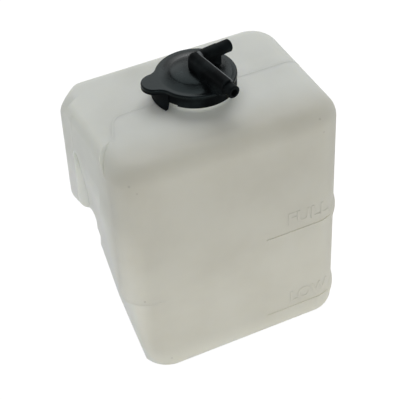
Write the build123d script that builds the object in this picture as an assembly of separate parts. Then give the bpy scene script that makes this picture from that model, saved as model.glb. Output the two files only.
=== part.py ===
from build123d import *
from math import atan2, cos, degrees, radians, sin, tan
import os

# Coolant expansion tank: a blow-moulded bottle with a stepped back and a bracket pocket,
# closed by a push-on cap that carries two hose nipples and a dip tube.
# Millimetres, +Z up, origin under the middle of the whole part, on the surface it stands on.

# Tank body
tankWidth = 163.2
tankDepth = 117.4
tankHeight = 186.0
wall = 2.5
cornerRadius = 21.0
topRadius = 14.0
bottomRadius = 9.5

# Rear left top corner, which is eased off more than the others
easeTurn = 46.0
easeTilt = 22.0
easeDepth = 2.7
easeEdgeRadius = 7.0

# Left top edge, which stays sharp between the front and rear corners
sharpRadius = 7.0
sharpFromFront = 34.0
sharpFrontRun = 13.0
sharpFrontTurn = 27.0
sharpRearTurn = 56.0
sharpRearTilt = 31.0

# Lower left wall, which leans in below a bend
bendHeight = 71.0
leanInset = 13.0
bendRadius = 40.0

# Stepped back: the upper half hangs out over the lower half
stepHeight = 87.0
stepSlope = 17.35
lowerDepth = 71.0
stepEdgeRadius = 11.0
stepInnerRadius = 6.0

# Pocket in the left wall, open downwards, that slides over a bracket and is shallow at its top
pocketDepth = 6.5
pocketTopDepth = 1.5
pocketRamp = 42.0
pocketFromFront = 36.0
pocketLean = 10.0
pocketPastStep = 11.4
pocketFromTop = 32.0
pocketRadius = 4.0

# Bevel off the lower left wall, under the pocket's mouth
bevelFromStep = 25.0
bevelBelowStep = 5.5
bevelSlope = 44.0
bevelAngle = 17.0

# Level lines on the front wall and round the right corner
lineProud = 0.6
lineThick = 1.3
lineFromRight = 60.5
lineIntoCorner = 13.5
fullLineHeight = 92.5
lowLineHeight = 19.0

# Domed beads on the right wall, round the front corner
beadProud = 1.3
beadTall = 16.0
upperBeadHeight = 94.3
lowerBeadHeight = 19.5
beadFrontAngle = 50.0

# Neck
neckFromRight = 79.5
neckFromStep = 8.5
neckOuterRadius = 22.5
neckBoreRadius = 20.0
neckRise = 10.5
neckRootRadius = 2.0
neckBeadRadius = 24.6
neckBeadDrop = 3.4
neckBeadTall = 2.4
neckBeadEdgeRadius = 0.8

# Cap
sealThick = 2.0
discThick = 2.5
discRadius = 27.3
discEdgeRadius = 1.0
skirtDrop = 9.5
skirtSetback = 0.3
tabAngle = 174.0
tabReach = 37.5
tabRadius = 9.5
tabBlendRadius = 9.0
tabLip = 1.3
notchOffset = 36.5
notchWidth = 7.0
notchTall = 1.0
latchWall = 2.4
latchDrop = 13.6
latchFlare = 3.0
latchHalfAngle = 30.0
domeRadius = 19.5
domeRise = 4.5
plugWall = 1.6
plugDepth = 4.0
webWidth = 9.4
nippleRise = 10.0
nippleRadius = 4.4
nippleBore = 2.4
nippleLead = 0.7
drawAngle = -80.8
drawDrop = 1.2
drawFootReach = 27.3
drawWebReach = 37.0
drawReach = 43.5
ventAngle = 8.0
ventFootReach = 17.5
ventWebReach = 17.5
ventReach = 27.3
ventDropRadius = 10.0

# Dip tube and the spigot that holds it
spigotRadius = 3.2
spigotBore = 1.9
spigotLength = 14.0
tubeWall = 1.3
tubeFloorGap = 6.0
tubeTopGap = 1.0

# Clearances
skirtClearance = 0.4
plugClearance = 0.4
tubeClearance = 0.1

# Places that follow from the sizes
left = -(tankWidth + beadProud) / 2
right = left + tankWidth
front = -(tankDepth - lineProud) / 2
rear = front + tankDepth
lean = atan2(leanInset, bendHeight)
pocketTop = tankHeight - pocketFromTop
stepRise = (tankDepth - lowerDepth) * tan(radians(stepSlope))
bevelHeight = stepHeight + stepRise - bevelBelowStep
neckX = right - neckFromRight
neckY = front + lowerDepth - neckFromStep
lipZ = tankHeight + neckRise
discZ = lipZ + sealThick
discTop = discZ + discThick
nippleZ = discTop + nippleRise
drawZ = nippleZ - drawDrop
neckAxis = Location((neckX, neckY, 0))


def bendPoint(inset):
    """Corner of the left wall's outline, at a distance inside the outer face."""
    return left + inset, bendHeight + inset * tan(lean / 2)


def leanPoint(inset, z):
    """Point of the leaning left wall at a height, at a distance inside the outer face."""
    x, bendZ = bendPoint(inset)
    return x + (bendZ - z) * tan(lean), z


def acrossDepth(sketch, nearY, farY):
    """Carries an outline drawn in X and Z from one depth to another."""
    plane = Plane(origin=(0, farY, 0), x_dir=(1, 0, 0), z_dir=(0, -1, 0))
    return extrude(plane * sketch, farY - nearY)


def nearest(sketch, point):
    return sketch.vertices().sort_by_distance(Vector(*point))[0]


def stepEdges(body, lowerRear):
    """Edges where the step's faces meet the outer walls, from floor to floor."""
    middle = (lowerRear + rear) / 2
    back = [f for f in body.faces().filter_by(Axis.Y) if abs(f.center().Y - lowerRear) < 0.01]
    below = [f for f in body.faces() if f.center().Y > lowerRear + 0.01
             and f.normal_at(f.center()).Z < -0.5]
    edges = ShapeList()
    for face in back + below:
        for edge in face.edges():
            alongX = abs(edge.tangent_at(0.5).X) > 0.999
            if not alongX or edge.center().Y > middle:
                edges.append(edge)
    return edges


def easeCorner(body, inset):
    """Takes the rear left top corner back to a small flat and rounds the flat's edges."""
    turn = radians(easeTurn)
    tilt = radians(easeTilt)
    outward = Vector(-cos(turn) * cos(tilt), sin(turn) * cos(tilt), sin(tilt))
    centre = Vector(left + cornerRadius, rear - cornerRadius, tankHeight - topRadius)
    reach = (cornerRadius - topRadius) * cos(tilt) + topRadius - inset - easeDepth
    flat = Plane(origin=centre + outward * reach, z_dir=outward)
    body -= flat * Box(4 * cornerRadius, 4 * cornerRadius, 2 * cornerRadius,
                       align=(Align.CENTER, Align.CENTER, Align.MIN))
    face = body.faces().sort_by_distance(flat.origin)[0]
    return fillet(face.edges(), easeEdgeRadius)


def sharpEdge():
    """Fill of the left top edge's rounding, run out in slopes towards both corners."""
    low = tankHeight - topRadius
    section = make_face(Polyline(
        (left, low), (left, tankHeight), (left + topRadius, tankHeight), (left + topRadius, low), close=True))
    section = fillet(nearest(section, (left, tankHeight)), sharpRadius)
    fill = acrossDepth(section, front, rear - cornerRadius)
    turn = radians(sharpFrontTurn)
    nearFoot = Vector(left, front + sharpFromFront - sharpFrontRun, low)
    nearUp = Vector(0, sharpFrontRun, topRadius).normalized()
    nearAlong = Vector(cos(turn), sin(turn), 0)
    farFoot = Vector(left, rear - cornerRadius, low)
    turn = radians(sharpRearTurn)
    tilt = radians(sharpRearTilt)
    farOut = Vector(-cos(turn) * cos(tilt), sin(turn) * cos(tilt), sin(tilt))
    for foot, outward in ((nearFoot, nearAlong.cross(nearUp)), (farFoot, farOut)):
        fill -= Plane(origin=foot, z_dir=outward) * Box(
            tankHeight, tankHeight, tankHeight, align=(Align.CENTER, Align.CENTER, Align.MIN))
    return fill


def tankForm(inset):
    """The tank's rounded form at a distance inside its outer face."""
    inRear = rear - inset
    floorZ = inset
    topZ = tankHeight - inset
    bend = bendPoint(inset)
    outline = make_face(Polyline(
        (left + inset, topZ), bend, leanPoint(inset, floorZ),
        (right - inset, floorZ), (right - inset, topZ), close=True))
    outline = fillet(nearest(outline, bend), bendRadius - inset)
    body = acrossDepth(outline, front + inset, inRear)

    lowerRear = front + lowerDepth - inset
    slope = tan(radians(stepSlope))
    rise = inset * (1 + slope ** 2) ** 0.5
    innerZ = stepHeight + stepRise + rise + inset * slope
    outside = inRear + 2 * wall
    space = make_face(Polyline(
        (lowerRear, -wall), (lowerRear, innerZ),
        (outside, innerZ - slope * (outside - lowerRear)), (outside, -wall), close=True))
    space = fillet(nearest(space, (lowerRear, innerZ)), stepInnerRadius + inset)
    body -= extrude(Plane.YZ * space, tankWidth, both=True)

    frontFace = body.faces().sort_by(Axis.Y)[0]
    rearFace = body.faces().sort_by(Axis.Y)[-1]
    corners = [e for e in frontFace.edges() + rearFace.edges() if abs(e.tangent_at(0.5).X) < 0.9]
    body = fillet(corners, cornerRadius - inset)
    body = fillet(stepEdges(body, lowerRear), stepEdgeRadius - inset)
    body = fillet(body.faces().sort_by(Axis.Z)[-1].edges(), topRadius - inset)
    body = fillet(body.faces().sort_by(Axis.Z)[0].edges(), bottomRadius - inset)
    return easeCorner(body, inset)


def pocketForm(inset):
    """Space of the bracket pocket, grown by a distance for the cavity behind it."""
    depth = pocketDepth + inset
    bend = bendPoint(depth)
    outside = left - wall
    roofZ = pocketTop + inset
    rampFoot = (left + depth, pocketTop - pocketRamp)
    section = make_face(Polyline(
        (outside, roofZ), (left + pocketTopDepth + inset, roofZ), rampFoot, bend,
        leanPoint(depth, -wall), (outside, -wall), close=True))
    section = fillet(nearest(section, bend), bendRadius - depth)
    section = fillet(nearest(section, rampFoot), bendRadius + inset)
    slab = acrossDepth(section, front, rear)

    nearY = front + pocketFromFront - inset
    farY = front + lowerDepth + pocketPastStep + inset
    stepZ = stepHeight + stepRise
    tilt = pocketLean / (pocketTop - stepZ)
    face = make_face(Polyline(
        (nearY, roofZ), (nearY + tilt * roofZ, 0), (nearY + tilt * roofZ, -wall),
        (farY, -wall), (farY, roofZ), close=True))
    roofCorners = face.vertices().sort_by(Axis.Y)[-2:]
    face = fillet(roofCorners, pocketRadius + inset)
    return slab & extrude(Plane.YZ * face, tankWidth, both=True)


def bevelForm(inset):
    """Space outside the bevel's slanting plane, below the step, moved in by a distance."""
    turn = radians(bevelAngle)
    slope = radians(bevelSlope)
    outward = Vector(-cos(turn), sin(turn) * sin(slope), -sin(turn) * cos(slope))
    start = Vector(left, front + lowerDepth - bevelFromStep, bevelHeight) - outward * inset
    block = Plane(origin=start, z_dir=outward) * Box(
        2 * tankHeight, 2 * tankHeight, tankWidth, align=(Align.CENTER, Align.CENTER, Align.MIN))
    below = Pos(0, front + lowerDepth, bevelHeight + inset) * Box(
        2 * tankWidth, 2 * tankDepth, 2 * tankHeight, align=(Align.CENTER, Align.MAX, Align.MAX))
    return block & below


def levelLine(outer, skin, height):
    """Thin raised line along the front wall, round into the right corner."""
    fromX = right - lineFromRight
    toX = right - cornerRadius + lineIntoCorner
    band = Pos((fromX + toX) / 2, front, height) * Box(toX - fromX, cornerRadius, lineThick)
    return (skin & band) - outer


def beadSection(halfTall, proud, x, y, height, angle=0.0):
    """Domed section of a bead on a wall that faces an angle forward of +X."""
    outward = (cos(radians(angle)), -sin(radians(angle)), 0)
    tangent = (-sin(radians(angle)), -cos(radians(angle)), 0)
    plane = Plane(origin=(x, y, height), x_dir=outward, z_dir=tangent)
    return plane * make_face([
        ThreePointArc((0, -halfTall), (proud, 0), (0, halfTall)),
        Polyline((0, halfTall), (-wall, halfTall), (-wall, -halfTall), (0, -halfTall))])


def wallBead(outer, height):
    """Domed bead along the right wall and part of the way round the front corner."""
    half = beadTall / 2
    thin = beadProud / 10
    cornerX = right - cornerRadius
    nearY = front + cornerRadius
    farY = front + lowerDepth - stepEdgeRadius - beadTall
    start = beadSection(half, beadProud, right, nearY, height)
    finish = beadSection(half, beadProud, right, farY, height)
    run = extrude(finish, farY - nearY)
    turn = revolve(start, Axis((cornerX, nearY, 0), (0, 0, -1)), beadFrontAngle)
    fade = beadFrontAngle + degrees(half / cornerRadius)
    ends = []
    for angle, tall, proud in ((beadFrontAngle, half, beadProud), (fade, thin, thin)):
        x = cornerX + cornerRadius * cos(radians(angle))
        y = nearY - cornerRadius * sin(radians(angle))
        ends.append(beadSection(tall, proud, x, y, height, angle))
    rearTip = beadSection(thin, thin, right, farY + half, height)
    return run + turn + loft(ends) + loft([finish, rearTip]) - outer


def neck():
    """Round neck with a lip bead that the cap's skirt goes over."""
    base = tankHeight - topRadius / 2
    beadZ = lipZ - neckBeadDrop
    tube = Pos(0, 0, base) * Cylinder(
        neckOuterRadius, lipZ - base, align=(Align.CENTER, Align.CENTER, Align.MIN))
    rib = Pos(0, 0, beadZ) * Cylinder(
        neckBeadRadius, neckBeadTall, align=(Align.CENTER, Align.CENTER, Align.MIN))
    rib = fillet(rib.edges().filter_by(GeomType.CIRCLE), neckBeadEdgeRadius)
    return tube + rib


def makeTank():
    outer = tankForm(0)
    skin = tankForm(-lineProud)
    body = outer + sharpEdge() - bevelForm(0) - pocketForm(0)
    body += neckAxis * neck()
    root = [e for e in body.edges().filter_by(GeomType.CIRCLE)
            if abs(e.center().Z - tankHeight) < 0.01 and abs(e.radius - neckOuterRadius) < 0.01]
    body = fillet(root, neckRootRadius)
    for height in (upperBeadHeight, lowerBeadHeight):
        body += wallBead(outer, height)
    for height in (fullLineHeight, lowLineHeight):
        body += levelLine(outer, skin, height)
    body -= tankForm(wall) - pocketForm(wall) - bevelForm(wall)
    return body - neckAxis * Pos(0, 0, tankHeight) * Cylinder(neckBoreRadius, tankHeight / 4)


def polar(radius, angle):
    return radius * cos(radians(angle)), radius * sin(radians(angle))


def upright(radius, fromZ, toZ):
    """Solid cylinder about the neck's axis."""
    return Pos(0, 0, fromZ) * Cylinder(
        radius, toZ - fromZ, align=(Align.CENTER, Align.CENTER, Align.MIN))


def ring(outerRadius, innerRadius, fromZ, toZ):
    return upright(outerRadius, fromZ, toZ) - upright(innerRadius, fromZ, toZ)


def web(angle, z, footReach, reach):
    """Upright slab with a round top that carries a nipple, cut back under the nipple."""
    half = webWidth / 2
    section = make_face([
        Line((-half, discTop), (half, discTop)), Line((half, discTop), (half, nippleZ)),
        ThreePointArc((half, nippleZ), (0, nippleZ + half), (-half, nippleZ)),
        Line((-half, nippleZ), (-half, discTop))])
    side = make_face(Polyline(
        (0, discTop), (footReach, discTop), (reach, z - half),
        (reach, nippleZ + half), (0, nippleZ + half), close=True))
    slab = extrude(Plane.YZ * section, reach) & extrude(Plane.XZ * side, webWidth, both=True)
    return Rot(0, 0, angle) * slab


def along(angle, radius, z, fromR, toR):
    """Solid cylinder that lies at a height, outwards from the neck's axis."""
    x, y = polar(1, angle)
    plane = Plane(origin=(fromR * x, fromR * y, z), z_dir=(x, y, 0))
    return extrude(plane * Circle(radius), toR - fromR)


def nipple(angle, z, reach):
    tube = along(angle, nippleRadius, z, 0, reach)
    x, y = polar(1, angle)
    tip = tube.faces().sort_by(Axis((0, 0, z), (x, y, 0)))[-1]
    return chamfer(tip.edges(), nippleLead)


def domeForm(radius, fromZ):
    """Half of a flattened ball about the neck's axis."""
    arc = EllipticalCenterArc((0, fromZ), radius, domeRise, start_angle=0, arc_size=90)
    section = make_face([Line((0, fromZ), (radius, fromZ)), arc, Line((0, fromZ + domeRise), (0, fromZ))])
    return revolve(Plane.XZ * section, Axis.Z)


def makeCap():
    tabX, tabY = polar(tabReach - tabRadius, tabAngle)
    plate = Circle(discRadius) + Pos(tabX, tabY) * Circle(tabRadius)
    plate = fillet(plate.vertices(), tabBlendRadius)
    disc = extrude(Pos(0, 0, discZ) * plate, discThick)
    disc = fillet(disc.faces().sort_by(Axis.Z)[-1].edges(), discEdgeRadius)
    disc += extrude(Pos(0, 0, discZ) * (plate - Circle(discRadius)), -tabLip)

    skirtOuter = discRadius - skirtSetback
    skirtInner = neckBeadRadius + skirtClearance
    skirt = ring(skirtOuter, skirtInner, discTop - skirtDrop, discZ)
    for side in (-1, 1):
        gap = Box(2 * skirtOuter, notchWidth, 2 * notchTall, align=(Align.MIN, Align.CENTER, Align.CENTER))
        skirt -= Rot(0, 0, tabAngle + side * notchOffset) * Pos(0, 0, discTop - skirtDrop) * gap
    latchZ = discTop - latchDrop
    latchSection = make_face(Polyline(
        (skirtInner, discZ), (skirtInner + latchWall, discZ),
        (skirtInner + latchWall + latchFlare, latchZ), (skirtInner + latchFlare, latchZ), close=True))
    latch = revolve(Plane.XZ * latchSection, Axis.Z, 2 * latchHalfAngle)
    latch = Rot(0, 0, tabAngle - latchHalfAngle) * latch

    dome = domeForm(domeRadius, discTop)
    hollow = domeForm(domeRadius - discThick, discZ)
    plugRadius = neckBoreRadius - plugClearance
    plug = ring(plugRadius, plugRadius - plugWall, discZ - plugDepth, discZ)
    spigotTop = discZ + domeRise
    spigot = upright(spigotRadius, spigotTop - spigotLength, spigotTop)
    boss = upright(webWidth / 2, discTop, nippleZ)
    crown = Pos(0, 0, nippleZ) * Sphere(webWidth / 2)

    cap = disc + skirt + latch + dome + boss + crown
    cap += web(drawAngle, drawZ, drawFootReach, drawWebReach)
    cap += web(ventAngle, nippleZ, ventFootReach, ventWebReach)
    cap += nipple(drawAngle, drawZ, drawReach) + nipple(ventAngle, nippleZ, ventReach)
    cap = cap - hollow + plug + spigot
    cap -= upright(spigotBore, spigotTop - spigotLength, drawZ)
    cap -= along(drawAngle, nippleBore, drawZ, 0, drawReach)
    cap -= along(ventAngle, nippleBore, nippleZ, ventDropRadius - nippleBore, ventReach)
    ventX, ventY = polar(ventDropRadius, ventAngle)
    cap -= Pos(ventX, ventY, 0) * upright(nippleBore, discZ, nippleZ)
    return neckAxis * cap


def makeSeal():
    return neckAxis * ring(neckBeadRadius, neckBoreRadius, lipZ, discZ)


def makeDipTube():
    bore = spigotRadius + tubeClearance
    return neckAxis * ring(bore + tubeWall, bore, wall + tubeFloorGap, discZ + domeRise - tubeTopGap)


os.makedirs("parts", exist_ok=True)
pieces = {
    "tank": makeTank(),
    "cap": makeCap(),
    "cap_seal": makeSeal(),
    "dip_tube": makeDipTube(),
}
for name, shape in pieces.items():
    export_step(shape, f"parts/{name}.step")
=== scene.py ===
import bmesh
import bpy
import numpy as np
from mathutils import Matrix, Vector
from mathutils.bvhtree import BVHTree


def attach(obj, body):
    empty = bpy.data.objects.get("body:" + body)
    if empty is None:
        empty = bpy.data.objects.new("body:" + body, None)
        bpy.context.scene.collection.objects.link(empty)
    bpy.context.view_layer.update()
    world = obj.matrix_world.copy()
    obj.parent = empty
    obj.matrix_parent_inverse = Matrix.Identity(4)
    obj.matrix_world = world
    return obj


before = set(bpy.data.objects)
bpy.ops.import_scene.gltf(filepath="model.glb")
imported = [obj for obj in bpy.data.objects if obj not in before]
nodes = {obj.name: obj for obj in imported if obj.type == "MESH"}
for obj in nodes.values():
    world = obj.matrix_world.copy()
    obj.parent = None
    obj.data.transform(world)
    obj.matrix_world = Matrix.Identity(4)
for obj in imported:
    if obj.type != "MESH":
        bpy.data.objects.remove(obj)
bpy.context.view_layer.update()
neckAxis = (0.00145, 0.0041)  # x and y of the neck's middle
noiseMiddle = 0.5  # a noise texture's mean
print("frame loaded:", sorted(nodes))


class Value:
    # one output of a node; the operators add Math nodes to the same finish
    def __init__(self, finish, socket):
        self.finish = finish
        self.socket = socket

    def maths(self, operation, first, second):
        return self.finish.node("Math", {"operation": operation}, {0: first, 1: second})

    def __add__(self, other):
        return self.maths("ADD", self, other)

    def __sub__(self, other):
        return self.maths("SUBTRACT", self, other)

    def __rsub__(self, other):
        return self.maths("SUBTRACT", other, self)

    def __mul__(self, other):
        return self.maths("MULTIPLY", self, other)

    def size(self):
        return self.maths("ABSOLUTE", self, 0.0)

    def larger(self, other):
        return self.maths("MAXIMUM", self, other)

    __radd__ = __add__
    __rmul__ = __mul__


class Finish:
    # a material, or the world, that is filled node by node
    def __init__(self, name, owner=None):
        self.owner = owner or bpy.data.materials.new(name)
        self.owner.use_nodes = True
        self.tree = self.owner.node_tree
        self.tree.nodes.clear()

    def node(self, kind, settings=None, inputs=None, output=0):
        made = self.tree.nodes.new("ShaderNode" + kind)
        for key, setting in (settings or {}).items():
            setattr(made, key, setting)
        for key, given in (inputs or {}).items():
            if isinstance(given, Value):
                self.tree.links.new(given.socket, made.inputs[key])
            else:
                made.inputs[key].default_value = given
        return Value(self, made.outputs[output]) if made.outputs else None

    def noise(self, place, scale, detail):
        return self.node("TexNoise", None, {"Vector": place, "Scale": scale, "Detail": detail})

    def apart(self, place):
        # the x, y and z of a place
        split = self.node("SeparateXYZ", None, {"Vector": place})
        return [Value(self, output) for output in split.socket.node.outputs]

    def distance(self, place, point):
        return self.node("VectorMath", {"operation": "DISTANCE"}, {0: place, 1: point}, "Value")

    def spread(self, value, start, end):
        # 0 at the start, 1 at the end, eased between
        return self.node("MapRange", {"interpolation_type": "SMOOTHSTEP"},
                         {"Value": value, "From Min": start, "From Max": end})

    def blendColour(self, factor, first, second, way="MIX"):
        # a colour Mix node keeps its colours in sockets 6 and 7, and gives the result in 2
        return self.node("Mix", {"data_type": "RGBA", "blend_type": way},
                         {0: factor, 6: first, 7: second}, 2)

    def ray(self, kind):
        return self.node("LightPath", None, None, kind)

    def close(self, shader, kind="OutputMaterial"):
        self.node(kind, None, {"Surface": shader})
        return self.owner


def dress(piece, material):
    piece.data.materials.clear()
    piece.data.materials.append(material)


def newPiece(name, mesh, body, material):
    piece = bpy.data.objects.new(name, mesh)
    bpy.context.collection.objects.link(piece)
    dress(piece, material)
    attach(piece, body)


def gridPiece(name, points, closed, body, material):
    # points[i, j] is the surface at step i along the path and step j across it, or round it if closed
    rows, across, _ = points.shape
    index = np.arange(rows * across).reshape(rows, across)
    nextAcross = np.roll(index, -1, axis=1) if closed else index[:, 1:]
    here = index if closed else index[:, :-1]
    faces = np.stack([here[:-1], nextAcross[:-1], nextAcross[1:], here[1:]], axis=-1).reshape(-1, 4)
    mesh = bpy.data.meshes.new(name)
    mesh.from_pydata(points.reshape(-1, 3).tolist(), [], faces.tolist())
    mesh.polygons.foreach_set("use_smooth", np.ones(len(mesh.polygons), dtype=bool))
    mesh.update()
    newPiece(name, mesh, body, material)


# Milky blow-moulded plastic: faintly clouded, with a few specks of dirt, warmer on the front wall and, as
# painted shade, darker there and on the front of the top; paler towards the foot, round the neck, on the
# left wall and under the ledge on the front left corner, as painted light
milky = {
    "pale": (0.795, 0.818, 0.760, 1.0),
    "palest": (0.900, 0.915, 0.860, 1.0),
    # warm tint of the front wall, darker than the pale colour as painted shade
    "warmAndShaded": (0.616, 0.599, 0.513, 1.0),
    "dirt": (0.16, 0.145, 0.11, 1.0),
    "cloud": {"size": 0.045, "detail": 3.0, "from": 0.40, "to": 0.75, "depth": 0.04},
    "front": {"fromY": -0.014, "toY": -0.059, "share": 0.9, "drift": 0.3},
    "foot": {"fromZ": 0.150, "toZ": 0.020, "lift": 0.23},
    "sole": {"fromZ": 0.024, "toZ": 0.004, "lift": 0.20},
    "neck": {"middle": (0.0015, 0.0041, 0.1950), "from": 0.052, "to": 0.034, "lift": 0.07},
    "leftWall": {"fromX": -0.0640, "toX": -0.0805, "fromZ": 0.150, "toZ": 0.115, "lift": 0.19},
    "corner": {"fromX": -0.066, "toX": -0.074, "fromZ": 0.0725, "toZ": 0.0700, "lift": 0.10},
    "roughness": 0.60,
    "roughRange": 0.15,
    "refraction": 1.5,
    "scatter": 0.004,
    "scatterTint": (1.0, 0.95, 0.8),
    "ripple": {"scale": 90.0, "detail": 4.0, "strength": 0.3, "depth": 0.0004},
    "rib": {"y": 0.0275, "lean": 0.0062, "fromZ": 0.115, "toZ": 0.186, "halfWidth": 0.0028,
            "fromX": -0.0795, "wallX": -0.0805, "height": 5.0},
    "speckShade": 0.22,
    "speckCore": 0.3,
    "specks": [
        ((-0.0732, -0.0538, 0.1764), 0.0012), ((-0.0694, -0.0567, 0.1713), 0.0009),
        ((-0.0553, -0.0578, 0.0127), 0.0010), ((-0.0708, -0.0561, 0.0752), 0.0012),
        ((0.0612, -0.0555, 0.1804), 0.0011), ((0.0629, -0.0582, 0.1709), 0.0009),
    ],
}
glow = {"bottle": 0.6, "words": 0.0, "seam": 0.3}  # how much light goes through; thin shells take less


def paintedLightLift(made, place, across, height):
    # painted light: how much paler than plain each place is, lighter low down where the floor lights the
    # wall, round the neck where the cap's shadow falls, on the lower left wall and under the ledge
    neck = milky["neck"]
    offNeck = made.distance(place, neck["middle"])
    lift = neck["lift"] * made.spread(offNeck, neck["from"], neck["to"])
    for band in (milky["foot"], milky["sole"]):
        lift = lift + band["lift"] * made.spread(height, band["fromZ"], band["toZ"])
    for patch in (milky["leftWall"], milky["corner"]):
        onSide = made.spread(across, patch["fromX"], patch["toX"])
        lift = lift + patch["lift"] * onSide * made.spread(height, patch["fromZ"], patch["toZ"])
    return lift


def milkyPlastic(name, through):
    made = Finish(name)
    place = made.node("TexCoord", None, None, "Object")
    across, depth, height = made.apart(place)
    clouds, front, ripples, rib = milky["cloud"], milky["front"], milky["ripple"], milky["rib"]
    cloud = made.noise(place, 1 / clouds["size"], clouds["detail"])
    # warmer towards the front: partly a warm tint, partly painted shade darkening the front wall and the
    # front of the top
    warmthAndShade = (made.spread(depth, front["fromY"], front["toY"]) * front["share"]
              + (cloud - noiseMiddle) * front["drift"])
    tint = made.blendColour(warmthAndShade, milky["pale"], milky["warmAndShaded"])
    # painted light: the lifts make places paler, the clouds make them a little darker at random
    shade = (1 + paintedLightLift(made, place, across, height)
             - clouds["depth"] * made.spread(cloud, clouds["from"], clouds["to"]))
    grey = made.node("CombineColor", None, {0: shade, 1: shade, 2: shade})
    paintedLightTint = made.blendColour(1.0, tint, grey, "MULTIPLY")
    clouded = made.blendColour(1.0, paintedLightTint, milky["palest"], "DARKEN")
    soil = 0.0
    for point, radius in milky["specks"]:
        soil = soil + made.spread(made.distance(place, point), radius, milky["speckCore"] * radius)
    colour = made.blendColour(soil * milky["speckShade"], clouded, milky["dirt"])
    ripple = made.noise(place, ripples["scale"], ripples["detail"])
    rough = milky["roughness"] + (ripple - noiseMiddle) * milky["roughRange"]
    offRib = (depth - rib["y"] + rib["lean"] * made.spread(height, rib["fromZ"], rib["toZ"])).size()
    onRib = made.spread(offRib, rib["halfWidth"], 0.0) * made.spread(across, rib["fromX"], rib["wallX"])
    bump = made.node("Bump", None, {"Strength": ripples["strength"], "Distance": ripples["depth"],
                                    "Height": ripple + onRib * rib["height"]})
    surface = made.node("BsdfPrincipled", None, {
        "Base Color": colour, "Roughness": rough, "Normal": bump, "IOR": milky["refraction"],
        "Subsurface Weight": through, "Subsurface Radius": milky["scatterTint"],
        "Subsurface Scale": milky["scatter"]})
    return made.close(surface)


# Black moulded plastic of the cap: satin on the plate, matt on the tubes above it and the skirt under it,
# with a painted highlight, a pale line along the crest of the long web
capBlack = {
    "dark": (0.0022, 0.0024, 0.0028, 1.0),
    "wearAndHighlight": (0.012, 0.0155, 0.0165, 1.0),
    "patch": {"scale": 70.0, "detail": 4.0, "from": 0.40, "to": 0.75},
    "grain": {"scale": 1400.0, "detail": 2.0, "strength": 0.2, "depth": 0.0002},
    "roughness": 0.24,
    "roughRange": 0.2,
    "shine": 0.21,
    "sheen": (0.74, 0.97, 1.0, 1.0),
    "matt": {"tubes": (0.2045, 0.2065), "skirt": (0.1992, 0.1982), "roughness": 0.55, "shine": 0.06},
    # painted highlight: a pale line along the crest of the long web, where a lamp's glint falls
    "crest": {"way": (0.1599, -0.9871), "side": 0.0030, "halfWidth": 0.0016, "core": 0.2,
              "fromZ": 0.2120, "toZ": 0.2136, "middle": 0.0185, "halfRun": 0.0185, "halfFade": 0.01998,
              "pale": (0.17, 0.182, 0.188, 1.0)},
}


def blackPlastic(name):
    made = Finish(name)
    place = made.node("TexCoord", None, None, "Object")
    across, depth, height = made.apart(place)
    patches, grains, crest, matt = [capBlack[part] for part in ("patch", "grain", "crest", "matt")]
    patch = made.noise(place, patches["scale"], patches["detail"])
    grain = made.noise(place, grains["scale"], grains["detail"])
    colour = made.blendColour(made.spread(patch, patches["from"], patches["to"]),
                              capBlack["dark"], capBlack["wearAndHighlight"])
    rough = capBlack["roughness"] + (patch - noiseMiddle) * capBlack["roughRange"]
    bump = made.node("Bump", None, {"Strength": grains["strength"], "Distance": grains["depth"],
                                    "Height": grain})
    right, ahead = across - neckAxis[0], depth - neckAxis[1]
    wayX, wayY = crest["way"]  # from the neck's axis along the long web
    run = right * wayX + ahead * wayY
    side = ahead * wayX - right * wayY
    halfWidth = crest["halfWidth"]
    # painted highlight along the crest of the long web
    wearAndHighlight = (made.spread((side - crest["side"]).size(), halfWidth, crest["core"] * halfWidth)
            * made.spread(height, crest["fromZ"], crest["toZ"])
            * made.spread((run - crest["middle"]).size(), crest["halfFade"], crest["halfRun"]))
    satin = made.node("BsdfPrincipled", None, {
        "Base Color": colour, "Roughness": rough, "Normal": bump,
        "Specular IOR Level": capBlack["shine"], "Specular Tint": capBlack["sheen"]})
    dull = made.node("BsdfPrincipled", None, {
        "Base Color": made.blendColour(wearAndHighlight, colour, crest["pale"]),
        "Roughness": matt["roughness"], "Normal": bump,
        "Specular IOR Level": matt["shine"], "Specular Tint": capBlack["sheen"]})
    offPlate = made.spread(height, *matt["tubes"]).larger(made.spread(height, *matt["skirt"]))
    return made.close(made.node("MixShader", None, {0: offPlate, 1: satin, 2: dull}))


# Dusty black rubber of the seal
sealRubber = {
    "dark": (0.012, 0.012, 0.012, 1.0),
    "dusty": (0.03, 0.03, 0.029, 1.0),
    "dust": {"scale": 240.0, "detail": 3.0, "from": 0.45, "to": 0.7},
    "roughness": 0.75,
    "roughRange": 0.2,
}


def rubberFinish(name):
    made = Finish(name)
    place = made.node("TexCoord", None, None, "Object")
    grains = sealRubber["dust"]
    dust = made.noise(place, grains["scale"], grains["detail"])
    colour = made.blendColour(made.spread(dust, grains["from"], grains["to"]),
                              sealRubber["dark"], sealRubber["dusty"])
    rough = sealRubber["roughness"] + (dust - noiseMiddle) * sealRubber["roughRange"]
    return made.close(made.node("BsdfPrincipled", None, {"Base Color": colour, "Roughness": rough}))


bottleFinish = milkyPlastic("milkyBottle", glow["bottle"])
wordFinish = milkyPlastic("milkyWords", glow["words"])
seamFinish = milkyPlastic("milkySeam", glow["seam"])
capFinish = blackPlastic("blackCap")
dress(nodes["tank"], bottleFinish)
dress(nodes["cap"], capFinish)
dress(nodes["cap_seal"], rubberFinish("sealRubber"))
dress(nodes["dip_tube"], milkyPlastic("milkyTube", glow["bottle"]))
print("bottle, cap, seal and tube dressed")

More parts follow.
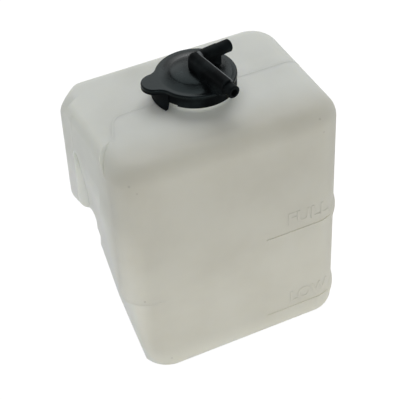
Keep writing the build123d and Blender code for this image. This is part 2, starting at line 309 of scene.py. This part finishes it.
# Parting line of the mould: a low soft ridge laid where rays from outside meet the bottle. Its section
# is the rise times the square of one less the square of the place across it, its edges sunk a little
seam = {
    "halfWidth": 0.0009, "rise": 0.0002, "sunk": 0.1, "strips": 7, "fadeSteps": 6,
    "above": 0.25, "beside": 0.12, "standOff": 0.05,
    "neckLeft": -0.0245, "neckRight": 0.0274,
    "turn": [(-0.055, 0.0041), (-0.0609, -0.0004), (-0.0659, -0.0124), (-0.0672, -0.0185)],
    "turnSteps": 70, "smoothing": 12,
    "cornerY": -0.0415, "cornerTop": 0.170, "cornerFoot": 0.080, "cornerSteps": 60,
    "roundX": 0.0669, "roundZ": 0.172, "roundTurn": (88, 2), "roundSteps": 20,
    "topSteps": 30, "rightTop": 0.170, "rightFoot": 0.012, "rightSteps": 90,
}
# Ledge low on the front left corner, a ridge of the same section round the corner's rounding
ledge = {"z": 0.0712, "centre": (-0.0605, -0.0375), "turn": (193, 286), "steps": 48}


def bottleSkin():
    bottle = nodes["tank"]
    points = [bottle.matrix_world @ corner.co for corner in bottle.data.vertices]
    return BVHTree.FromPolygons(points, [tuple(face.vertices) for face in bottle.data.polygons])


def ridge(name, rays):
    hits = [skin.ray_cast(Vector(start), Vector(way))[:2] for start, way in rays]
    centre = np.array([place for place, _ in hits])
    normal = np.array([way for _, way in hits])
    along = np.gradient(centre, axis=0)
    side = np.cross(along, normal)
    side /= np.linalg.norm(side, axis=1)[:, None]
    across = np.linspace(-1, 1, seam["strips"])
    step = np.arange(len(rays))
    fade = np.clip(np.minimum(step, step[::-1]) / seam["fadeSteps"], 0, 1)
    section = (1 - across ** 2) ** 2
    height = seam["rise"] * ((1 + seam["sunk"]) * section[None, :] * fade[:, None] - seam["sunk"])
    points = (centre[:, None, :] + side[:, None, :] * (across * seam["halfWidth"])[None, :, None]
              + normal[:, None, :] * height[:, :, None])
    gridPiece(name, points, False, "bottle", seamFinish)


def fanRays(centre, towards, turns, count):
    # rays to the middle of a rounding, from places turned about it from x towards the given axis
    turn = np.radians(np.linspace(*turns, count))[:, None]
    way = np.cos(turn) * np.array([1.0, 0.0, 0.0]) + np.sin(turn) * np.array(towards)
    return list(zip(np.array(centre) + seam["standOff"] * way, -way))


def topPath(corners, count):
    # rays down on an evenly stepped path through the corners, smoothed by averaging neighbours
    corners = np.array(corners)
    run = np.concatenate([[0], np.cumsum(np.linalg.norm(np.diff(corners, axis=0), axis=1))])
    steps = np.linspace(0, run[-1], count)
    path = np.stack([np.interp(steps, run, corners[:, axis]) for axis in (0, 1)], axis=1)
    for _ in range(seam["smoothing"]):
        path[1:-1] = (path[:-2] + 2 * path[1:-1] + path[2:]) / 4
    return [((x, y, seam["above"]), (0, 0, -1)) for x, y in path]


skin = bottleSkin()
middle = neckAxis[1]
ridge("partingLineTop", topPath([(seam["neckLeft"], middle)] + seam["turn"], seam["turnSteps"]))
leftHeights = np.linspace(seam["cornerTop"], seam["cornerFoot"], seam["cornerSteps"])
ridge("partingLineLeft", [((-seam["beside"], seam["cornerY"], z), (1, 0, 0)) for z in leftHeights])
topRight = [((x, middle, seam["above"]), (0, 0, -1))
            for x in np.linspace(seam["neckRight"], seam["roundX"], seam["topSteps"])]
roundCentre = (seam["roundX"], middle, seam["roundZ"])
overRight = fanRays(roundCentre, (0, 0, 1), seam["roundTurn"], seam["roundSteps"])
downRight = [((seam["beside"], middle, z), (-1, 0, 0))
             for z in np.linspace(seam["rightTop"], seam["rightFoot"], seam["rightSteps"])]
ridge("partingLineRight", topRight + overRight + downRight)
ridge("cornerLedge", fanRays((*ledge["centre"], ledge["z"]), (0, 1, 0), ledge["turn"], ledge["steps"]))
print("parting line and ledge laid")

# Soft foot of the cap's dome: a ring about the neck's axis, whose section is a curve with three control
# points that leaves the dome along its slope and runs out flat on the plate
domeFoot = {
    "plateZ": 0.2010, "domeRadius": 0.0195, "domeRise": 0.0045,
    "from": 0.0170, "reach": 0.0245, "sunk": 0.00003, "steps": 24, "turns": 160,
}


def softFoot():
    share = domeFoot["from"] / domeFoot["domeRadius"]
    drop = np.sqrt(1 - share ** 2)
    topZ = domeFoot["domeRise"] * drop
    slope = domeFoot["domeRise"] * share / (domeFoot["domeRadius"] * drop)
    bend = domeFoot["from"] + topZ / slope
    t = np.linspace(0, 1, domeFoot["steps"])[:, None]
    radius = (1 - t) ** 2 * domeFoot["from"] + 2 * t * (1 - t) * bend + t ** 2 * domeFoot["reach"]
    height = (1 - t) ** 2 * topZ - domeFoot["sunk"] * (2 * t - 1) ** 2
    turn = -np.linspace(0, 2 * np.pi, domeFoot["turns"], endpoint=False)[None, :]
    points = np.stack([neckAxis[0] + radius * np.cos(turn), neckAxis[1] + radius * np.sin(turn),
                       domeFoot["plateZ"] + height + 0 * turn], axis=-1)
    gridPiece("domeFoot", points, True, "lid", capFinish)


softFoot()
print("dome's foot laid")

# Level words, raised on the front wall and bent round its right corner: the place along a word runs
# straight to the corner and then turns about the corner's middle. Ranges are from and to in x, then in z
word = {
    "proud": 0.00026, "sunk": 0.0003, "wallY": -0.0584, "cornerX": 0.05995, "cornerRadius": 0.021,
    "thick": 0.05, "bevel": 0.02, "longEdge": 0.1, "cuts": 3,
    "full": (0.037, 0.069, 0.0990, 0.1100), "low": (0.039, 0.070, 0.0240, 0.0345),
}


def letterMesh(name, letters):
    # flat letters in their own units, divided finely enough to bend
    curve = bpy.data.curves.new(name, "FONT")
    curve.body = letters
    curve.extrude = word["thick"]
    curve.bevel_depth = word["bevel"]
    drawn = bpy.data.objects.new(name, curve)
    bpy.context.collection.objects.link(drawn)
    mesh = bpy.data.meshes.new_from_object(drawn.evaluated_get(bpy.context.evaluated_depsgraph_get()))
    bpy.data.objects.remove(drawn)
    cutter = bmesh.new()
    cutter.from_mesh(mesh)
    bmesh.ops.triangulate(cutter, faces=cutter.faces)
    longEdges = [edge for edge in cutter.edges if edge.calc_length() > word["longEdge"]]
    bmesh.ops.subdivide_edges(cutter, edges=longEdges, cuts=word["cuts"])
    bmesh.ops.triangulate(cutter, faces=cutter.faces)
    cutter.to_mesh(mesh)
    cutter.free()
    return mesh


def raisedWord(name, letters, fromX, toX, fromZ, toZ):
    mesh = letterMesh(name, letters)
    flat = np.empty(3 * len(mesh.vertices))
    mesh.vertices.foreach_get("co", flat)
    flat = flat.reshape(-1, 3)
    share = (flat - flat.min(axis=0)) / np.ptp(flat, axis=0)
    run = fromX + (toX - fromX) * share[:, 0]
    out = (word["proud"] + word["sunk"]) * share[:, 2] - word["sunk"]
    turn = np.clip(run - word["cornerX"], 0, None) / word["cornerRadius"]
    reach = word["cornerRadius"] + out
    bent = np.stack([np.minimum(run, word["cornerX"]) + reach * np.sin(turn),
                     word["wallY"] + word["cornerRadius"] - reach * np.cos(turn),
                     fromZ + (toZ - fromZ) * share[:, 1]], axis=1)
    mesh.vertices.foreach_set("co", bent.ravel())
    mesh.update()
    newPiece(name, mesh, "bottle", wordFinish)


raisedWord("wordFull", "FULL", *word["full"])
raisedWord("wordLow", "LOW", *word["low"])
print("level words raised")

# Floor, white to the camera and in reflections, with the bottle's own soft shadow
stage = {"half": 3.0, "glow": 0.80, "white": 1.16, "pale": (0.95, 0.95, 0.95, 1.0)}
pureWhite = (1.0, 1.0, 1.0, 1.0)


def floorFinish():
    made = Finish("paleFloor")
    shaded = made.node("BsdfDiffuse", None, {"Color": stage["pale"]})
    white = made.node("Emission", None, {"Color": pureWhite, "Strength": stage["white"]})
    seen = made.node("MixShader", None, {0: stage["glow"], 1: shaded, 2: white})
    looking = made.ray("Is Camera Ray").larger(made.ray("Is Glossy Ray"))
    looking = looking.larger(made.ray("Is Transmission Ray"))
    return made.close(made.node("MixShader", None, {0: looking, 1: shaded, 2: seen}))


half = stage["half"]
floorCorners = [(-half, -half, 0), (half, -half, 0), (half, half, 0), (-half, half, 0)]
floorMesh = bpy.data.meshes.new("floor")
floorMesh.from_pydata(floorCorners, [], [(0, 1, 2, 3)])
floor = bpy.data.objects.new("floor", floorMesh)
bpy.context.collection.objects.link(floor)
dress(floor, floorFinish())

# Soft light: a sky that is brighter low down, a rear softbox and a weak low one in front; what shiny
# surfaces mirror of the sky is dimmer overhead and towards the front
light = {
    "horizon": 0.96, "zenith": 0.35, "climb": (0.0, 0.8),
    "mirrorTop": 0.20, "mirrorFront": 0.45, "frontward": (0.3, -0.4),
    "rear": {"power": 11.2, "size": 1.5, "place": (0.40, 0.92, 1.40), "aim": (0, 0, 0.15)},
    "front": {"power": 2.0, "size": 0.8, "place": (-0.15, -0.92, 0.25), "aim": (0, -0.20, 0)},
}
world = bpy.data.worlds.new("studio")
bpy.context.scene.world = world
sky = Finish("studio", world)
_, northward, upward = sky.apart(sky.node("TexCoord", None, None, "Generated"))
climb = sky.spread(upward, *light["climb"])
frontward = sky.spread(northward, *light["frontward"])
dim = sky.node("Background", None, {
    "Strength": light["horizon"] + climb * (light["zenith"] - light["horizon"])})
mirrored = sky.node("Background", None, {
    "Strength": (1 + climb * (light["mirrorTop"] - 1)) * (1 + frontward * (light["mirrorFront"] - 1))})
white = sky.node("Background", None, {"Color": pureWhite, "Strength": 1.0})
shaped = sky.node("MixShader", None, {0: sky.ray("Is Glossy Ray"), 1: dim, 2: mirrored})
seen = sky.ray("Is Camera Ray").larger(sky.ray("Is Transmission Ray"))
sky.close(sky.node("MixShader", None, {0: seen, 1: shaped, 2: white}), "OutputWorld")

for name in ("rear", "front"):
    soft = light[name]
    lampData = bpy.data.lights.new(name, "AREA")
    lampData.energy = soft["power"]
    lampData.size = soft["size"]
    lamp = bpy.data.objects.new(name, lampData)
    lamp.location = soft["place"]
    lamp.rotation_euler = (Vector(soft["aim"]) - lamp.location).to_track_quat("-Z", "Y").to_euler()
    bpy.context.collection.objects.link(lamp)
print("floor and lights set")

# Camera at the photograph's place: its axes and its place in metres, its lens and sensor in millimetres
view = {
    "place": (-0.28275, -0.6372, 0.7097),
    "right": (0.89985, -0.43443, -0.03923),
    "up": (0.31475, 0.58441, 0.74793),
    "forward": (0.30200, 0.68537, -0.66262),
    "lens": 118.753,
    "sensor": 36.0,
}
cameraData = bpy.data.cameras.new("camera")
cameraData.sensor_width = view["sensor"]
cameraData.lens = view["lens"]
camera = bpy.data.objects.new("camera", cameraData)
axes = np.array([view["right"], view["up"], [-c for c in view["forward"]]]).T
camera.matrix_world = Matrix.Translation(view["place"]) @ Matrix(axes.tolist()).to_4x4()
bpy.context.collection.objects.link(camera)
bpy.context.scene.camera = camera
bpy.context.scene.view_settings.view_transform = "Standard"
